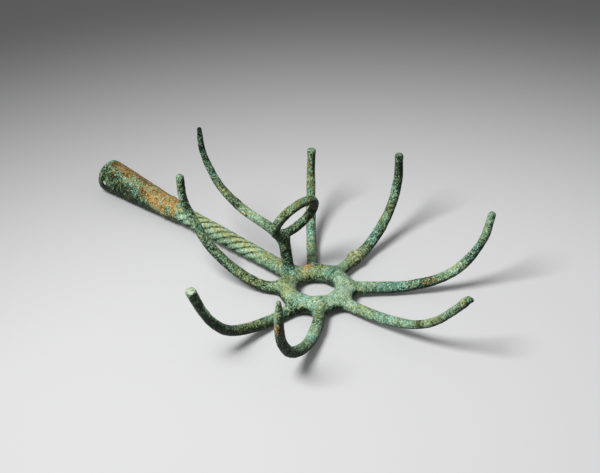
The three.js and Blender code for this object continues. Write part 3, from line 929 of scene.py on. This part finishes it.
def socket_tone(p):
    """Tone of socket and collar: ochre above a pale edge, with a stain, a scab, a worn rim, and
    painted shade on the underside.
    """
    along, angle, _ = handle_place(p)
    edge = np.interp(along, *OCHRE_EDGE)
    upper = rise(-35, 35, angle - edge) * rise(175, 140, angle)
    pale = bell(angle, edge, 14)
    rim = rise(251.5, 253, along)
    behind_rim = bell(along, 250.2, 1.2)
    seam = bell(along, SOCKET_END, 0.7)
    stain = bell(along, 208, 8) * bell(angle, 33, 16)
    scab = bell(along, 212, 9) * bell(angle, 68, 16)
    tone = plain_tone(len(p), 0.18, 0.25, 0.0, 0.45)
    tone[:, LIGHT] += 0.3 * upper + 0.16 * pale + 0.17 * rim - 0.14 * stain
    # Lighter towards the collar; painted shade on the underside.
    tone[:, LIGHT] += 0.12 * rise(200, 180, along) - 0.2 * rise(5, -40, angle)
    tone[:, LIGHT] += 0.1 * scab - 0.1 * behind_rim
    tone[:, LIGHT] += 0.25 * seam
    tone[:, OCHRE] = 0.16 + 0.48 * upper * (1 - 0.8 * rim) - 0.3 * scab
    tone[:, OCHRE] *= 1 - seam
    tone[:, BLUE] += 0.4 * stain + 0.15 * pale + 0.1 * rim
    return tone


def casting_tones(p, n):
    """Each piece's tone, blended where pieces meet so that no seam shows."""
    total, weight = np.zeros((len(p), 4)), np.full(len(p), 1e-9)
    for name, value in zip(NAMES, piece_values(p)):
        here = np.flatnonzero(value < BLEND_REACH)
        if name == "hub_ring":
            tone = hub_tone(p[here], n[here])
        elif name == "twisted_shank":
            tone = shank_tone(p[here])
        else:
            tone = bar_tone(name, p[here], n[here])
        share = np.exp(-value[here] / BLEND_WIDTH)
        total[here] += share[:, None] * tone
        weight[here] += share
    return np.clip(total / weight[:, None], 0, 1)


# Meshes

def boundary_loops(faces):
    """The rings of points round the open ends that the seams have left."""
    edges = dict.fromkeys((a, b) for f in faces for a, b in zip(f, f[1:] + f[:1]))
    follow = {b: a for a, b in edges if (b, a) not in edges}
    loops = []
    while follow:
        start = next(iter(follow))
        ring, at = [start], follow.pop(start)
        while at != start and at in follow:
            ring.append(at)
            at = follow.pop(at)
        loops.append(ring)
    return loops


def placed(name, data):
    """A new object in the scene."""
    thing = bpy.data.objects.new(name, data)
    bpy.context.scene.collection.objects.link(thing)
    return thing


def make_piece(name, points, normals, hollows, tones, faces):
    """One closed mesh for a CAD node, in metres, with the casting's own normals."""
    used = sorted({i for f in faces for i in f})
    renumber = {old: new for new, old in enumerate(used)}
    faces = [[renumber[i] for i in f] for f in faces]
    co = (points[used] + SHIFT) * MM
    outward = normals[used]
    dents = hollows[used]
    shades = tones[used]
    loop_normals = [outward[i] for f in faces for i in f]
    caps = []
    for ring in boundary_loops(faces):
        middle = len(co)
        co = np.vstack([co, co[ring].mean(0)])
        dents = np.append(dents, 0)
        shades = np.vstack([shades, shades[ring].mean(0)])
        caps += [[a, b, middle] for a, b in zip(ring, ring[1:] + ring[:1])]
    for f in caps:
        way = np.cross(co[f[1]] - co[f[0]], co[f[2]] - co[f[0]])
        way = way / max(np.linalg.norm(way), 1e-12)
        loop_normals += [way] * 3
    mesh = bpy.data.meshes.new(name)
    mesh.from_pydata(co.tolist(), [], faces + caps)
    mesh.shade_smooth()
    mesh.normals_split_custom_set(loop_normals)
    attribute = mesh.attributes.new("hollow", "FLOAT", "POINT")
    attribute.data.foreach_set("value", dents.astype(np.float32))
    attribute = mesh.attributes.new("tone", "FLOAT_COLOR", "POINT")
    attribute.data.foreach_set("color", shades.astype(np.float32).ravel())
    return placed(name, mesh)


def dress(piece, node):
    """Gives a piece its material and puts it in its CAD node's place."""
    slot = SLOTS.get(node, "green_patina")
    piece.data.materials.append(MATERIALS[slot])
    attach(piece, "root")
    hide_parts(node)


# Materials

def srgb(r, g, b):
    def linear(c):
        c /= 255
        return c / 12.92 if c <= 0.04045 else ((c + 0.055) / 1.055) ** 2.4

    return (linear(r), linear(g), linear(b), 1.0)


class Nodes:
    """Short names for the shader nodes that the patina is made of."""

    def __init__(self, name):
        self.material = bpy.data.materials.new(name)
        self.material.use_nodes = True
        self.tree = self.material.node_tree
        self.tree.nodes.clear()
        self.place = self.add("ShaderNodeTexCoord").outputs["Object"]

    def add(self, kind, inputs=(), **settings):
        """A new node. Its inputs are given by name or number, as values or other nodes' outputs."""
        node = self.tree.nodes.new(kind)
        for key, value in settings.items():
            setattr(node, key, value)
        for key, source in dict(inputs).items():
            if isinstance(source, (int, float, tuple)):
                node.inputs[key].default_value = source
            else:
                self.tree.links.new(source, node.inputs[key])
        return node

    def finish(self, inputs):
        """The material, with one shader that takes these inputs."""
        shader = self.add("ShaderNodeBsdfPrincipled", inputs)
        self.add("ShaderNodeOutputMaterial", {"Surface": shader.outputs["BSDF"]})
        return self.material

    def noise(self, size, detail, rough, warp, seed):
        """Noise with features about `size` millimetres across, and its own pattern for a seed."""
        inputs = {
            "Vector": self.place, "W": seed * 7.3, "Scale": 1 / (size * MM), "Detail": detail,
            "Roughness": rough, "Distortion": warp,
        }
        return self.add("ShaderNodeTexNoise", inputs, noise_dimensions="4D").outputs["Fac"]

    def ramp(self, value, low, high, at_low=0.0, at_high=1.0):
        inputs = {
            "Value": value, "From Min": low, "From Max": high, "To Min": at_low, "To Max": at_high,
        }
        node = self.add("ShaderNodeMapRange", inputs, interpolation_type="SMOOTHSTEP")
        return node.outputs["Result"]

    def maths(self, operation, a, b):
        return self.add("ShaderNodeMath", {0: a, 1: b}, operation=operation).outputs[0]

    def blend(self, share, a, b):
        inputs = {"Factor": share, 6: a, 7: b}
        return self.add("ShaderNodeMix", inputs, data_type="RGBA").outputs[2]

    def shades(self, level, colours):
        """Evenly spaced colours for levels from 0 to 1."""
        node = self.add("ShaderNodeValToRGB", {"Fac": level})
        stops = node.color_ramp.elements
        for i, colour in enumerate(colours):
            place = i / (len(colours) - 1)
            stop = stops[0] if i == 0 else stops[-1] if place == 1 else stops.new(place)
            stop.color = srgb(*colour)
        return node.outputs["Color"]

    def attribute(self, name, output="Fac"):
        return self.add("ShaderNodeAttribute", attribute_name=name).outputs[output]


# Colours of each kind of patina, from its darkest to its lightest
GREENS = ((8, 17, 10), (49, 74, 49), (104, 137, 101), (156, 190, 156), (218, 232, 212))
BLUES = ((8, 20, 20), (40, 76, 67), (84, 134, 115), (146, 192, 169), (212, 232, 218))
OLIVES = ((13, 17, 8), (64, 74, 39), (115, 129, 74), (167, 178, 120), (218, 219, 180))
OCHRES = ((27, 21, 11), (99, 74, 34), (158, 124, 64), (194, 165, 103), (226, 212, 169))


def patina(name):
    """Corroded bronze, in the tone that the mesh gives for each place."""
    n = Nodes(name)
    hollows = n.attribute("hollow")
    split = n.add("ShaderNodeSeparateColor", {"Color": n.attribute("tone", "Color")})
    light, blue, ochre = split.outputs["Red"], split.outputs["Green"], split.outputs["Blue"]
    olive = n.attribute("tone", "Alpha")
    grain = n.noise(0.9, 3, 0.7, 0.0, 1)
    crumbs = n.noise(2.4, 4, 0.7, 0.3, 2)

    def scaled(value, strength, middle=0.5):
        return n.maths("MULTIPLY", n.maths("SUBTRACT", value, middle), strength)

    def total(*values):
        whole = values[0]
        for value in values[1:]:
            whole = n.maths("ADD", whole, value)
        return whole

    def cover(amount, size, seed, soft, reach=0.5):
        """1 where patches of this amount lie, with ragged edges."""
        field = total(n.noise(size, 5, 0.7, 0.6, seed), scaled(crumbs, 0.35), scaled(amount, reach))
        return n.ramp(field, 0.5 - soft, 0.5 + soft)

    blotches = n.noise(7.0, 5, 0.68, 0.5, 3)
    pits = n.ramp(n.noise(1.5, 2, 0.6, 0, 4), 0.36, 0.43, -0.4, 0.0)
    specks = n.ramp(n.noise(1.3, 2, 0.6, 0, 5), 0.57, 0.64, 0.0, 0.5)
    relief_shade = n.ramp(hollows, -0.20, 0.24, 0.14, -0.30)
    calm = n.ramp(light, 0.25, 0.8, 1.45, 0.55)
    mottle = total(scaled(blotches, 0.95), scaled(crumbs, 0.95), scaled(grain, 2.4), pits)
    mottle = total(mottle, n.maths("MULTIPLY", specks, n.maths("ADD", light, 0.1)))
    level = total(light, n.maths("MULTIPLY", mottle, calm), relief_shade)
    colour = n.shades(level, GREENS)
    colour = n.blend(cover(olive, 8.0, 6, 0.10), colour, n.shades(level, OLIVES))
    colour = n.blend(cover(blue, 6.0, 7, 0.10), colour, n.shades(level, BLUES))
    colour = n.blend(cover(ochre, 8.5, 8, 0.06, 0.55), colour, n.shades(level, OCHRES))
    height = total(scaled(crumbs, 0.8), scaled(grain, 0.5))
    bump = n.add("ShaderNodeBump", {"Strength": 1.0, "Distance": 1.3 * MM, "Height": height})
    return n.finish({
        "Base Color": colour, "Roughness": n.ramp(crumbs, 0.35, 0.65, 0.5, 0.78),
        "Metallic": 0.0, "Specular IOR Level": 0.16, "Normal": bump.outputs["Normal"],
    })


MATERIALS = {name: patina(name) for name in ("green_patina", "dark_patina", "ochre_patina")}

SLOTS = {
    "hanging_loop": "dark_patina",
    "loop_stalk": "dark_patina",
    "socket_collar": "ochre_patina",
    "shaft_socket": "ochre_patina",
}

points, quads = surface(GRID)
cuts = seam_cuts()
points, faces = cut_seams(settle(GRID, points), quads, cuts)
label = face_labels(points, faces, cuts)
points, normals, hollows = finish_skin(points, faces)
tones = casting_tones(points, normals)
for node in NAMES:
    mine = [faces[k] for k in np.flatnonzero(label == ORDER[node])]
    dress(make_piece(node + "_cast", points, normals, hollows, tones, mine), node)

for node, low, high, distance in (
    ("shaft_socket", SOCKET_END, MOUTH, socket_distance),
    ("socket_collar", COLLAR_END, SOCKET_END, collar_distance),
):
    points, faces = turned_piece(low, high, distance)
    points, normals, hollows = finish_skin(points, faces)
    tones = np.clip(socket_tone(points), 0, 1)
    dress(make_piece(node + "_cast", points, normals, hollows, tones, faces), node)


# Floor, light and camera, in metres and degrees

# Painted pool of light: the paper is lightest round the pool's middle and darkens between two
# distances from it
PAINTED_POOL, PAINTED_POOL_EDGE, PAINTED_POOL_END, PAPER_HALF = (0.3, -0.15, 0.0), 0.33, 0.99, 4
PAPER_LIGHT, PAPER_DARK, BACKDROP = (216, 216, 217), (107, 107, 108), (76, 76, 77)
SKY_STRENGTH = 0.29
LAMP_AT, LAMP_AIM, LAMP_SIZE = (0.056, -0.407, 0.601), (0.06, 0.035, 0.02), 0.26
LAMP_ENERGY, LAMP_STRENGTH = 2.07, 4.7
CAMERA_AT, CAMERA_RIGHT = (0.5789, -0.5819, 0.5471), (0.73728, 0.67559)
CAMERA_TILT, CAMERA_ROLL, CAMERA_LENS, CAMERA_SENSOR = 31.872, 0.307, 71.47, 36


def make_floor():
    bm = bmesh.new()
    bmesh.ops.create_grid(bm, x_segments=8, y_segments=8, size=PAPER_HALF)
    mesh = bpy.data.meshes.new("floor")
    bm.to_mesh(mesh)
    bm.free()
    n = Nodes("floor_paper_painted_pool")
    away = n.add("ShaderNodeVectorMath", {0: n.place, 1: PAINTED_POOL}, operation="DISTANCE")
    # Painted pool of light: the paper's colour darkens away from the pool's middle.
    far = n.ramp(away.outputs["Value"], PAINTED_POOL_EDGE, PAINTED_POOL_END)
    colour = n.blend(far, srgb(*PAPER_LIGHT), srgb(*PAPER_DARK))
    mesh.materials.append(
        n.finish({"Base Color": colour, "Roughness": 0.9, "Specular IOR Level": 0.1})
    )
    placed("floor", mesh)


def make_lights():
    """An even white sky that the camera sees as a grey backdrop, and one disk lamp."""
    world = bpy.data.worlds.new("studio")
    bpy.context.scene.world = world
    world.use_nodes = True
    tree = world.node_tree
    background = tree.nodes["Background"]
    background.inputs["Color"].default_value = (1, 1, 1, 1)
    background.inputs["Strength"].default_value = SKY_STRENGTH
    seen = tree.nodes.new("ShaderNodeBackground")
    seen.inputs["Color"].default_value = srgb(*BACKDROP)
    path = tree.nodes.new("ShaderNodeLightPath")
    either = tree.nodes.new("ShaderNodeMixShader")
    tree.links.new(path.outputs["Is Camera Ray"], either.inputs["Fac"])
    tree.links.new(background.outputs["Background"], either.inputs[1])
    tree.links.new(seen.outputs["Background"], either.inputs[2])
    tree.links.new(either.outputs["Shader"], tree.nodes["World Output"].inputs["Surface"])
    lamp = bpy.data.lights.new("key", "AREA")
    lamp.shape = "DISK"
    lamp.size = LAMP_SIZE
    lamp.energy = LAMP_ENERGY
    lamp.use_nodes = True
    tree = lamp.node_tree
    falloff = tree.nodes.new("ShaderNodeLightFalloff")
    falloff.inputs["Strength"].default_value = LAMP_STRENGTH
    tree.links.new(falloff.outputs["Constant"], tree.nodes["Emission"].inputs["Strength"])
    key = placed("key", lamp)
    key.location = LAMP_AT
    key.rotation_euler = (Vector(LAMP_AIM) - key.location).to_track_quat("-Z", "Y").to_euler()


def make_camera():
    tilt, roll = math.radians(CAMERA_TILT), math.radians(CAMERA_ROLL)
    x, y = CAMERA_RIGHT
    ahead = Vector((-y * math.cos(tilt), x * math.cos(tilt), -math.sin(tilt))).normalized()
    right = Vector((x, y, 0)).normalized()
    up = right.cross(ahead)
    side = math.cos(roll) * right + math.sin(roll) * up
    top = -math.sin(roll) * right + math.cos(roll) * up
    matrix = Matrix((side, top, -ahead)).transposed().to_4x4()
    matrix.translation = CAMERA_AT
    data = bpy.data.cameras.new("camera")
    data.sensor_width = CAMERA_SENSOR
    data.lens = CAMERA_LENS
    camera = placed("camera", data)
    camera.matrix_world = matrix
    bpy.context.scene.camera = camera


make_floor()
make_lights()
make_camera()
bpy.context.scene.view_settings.view_transform = "Standard"
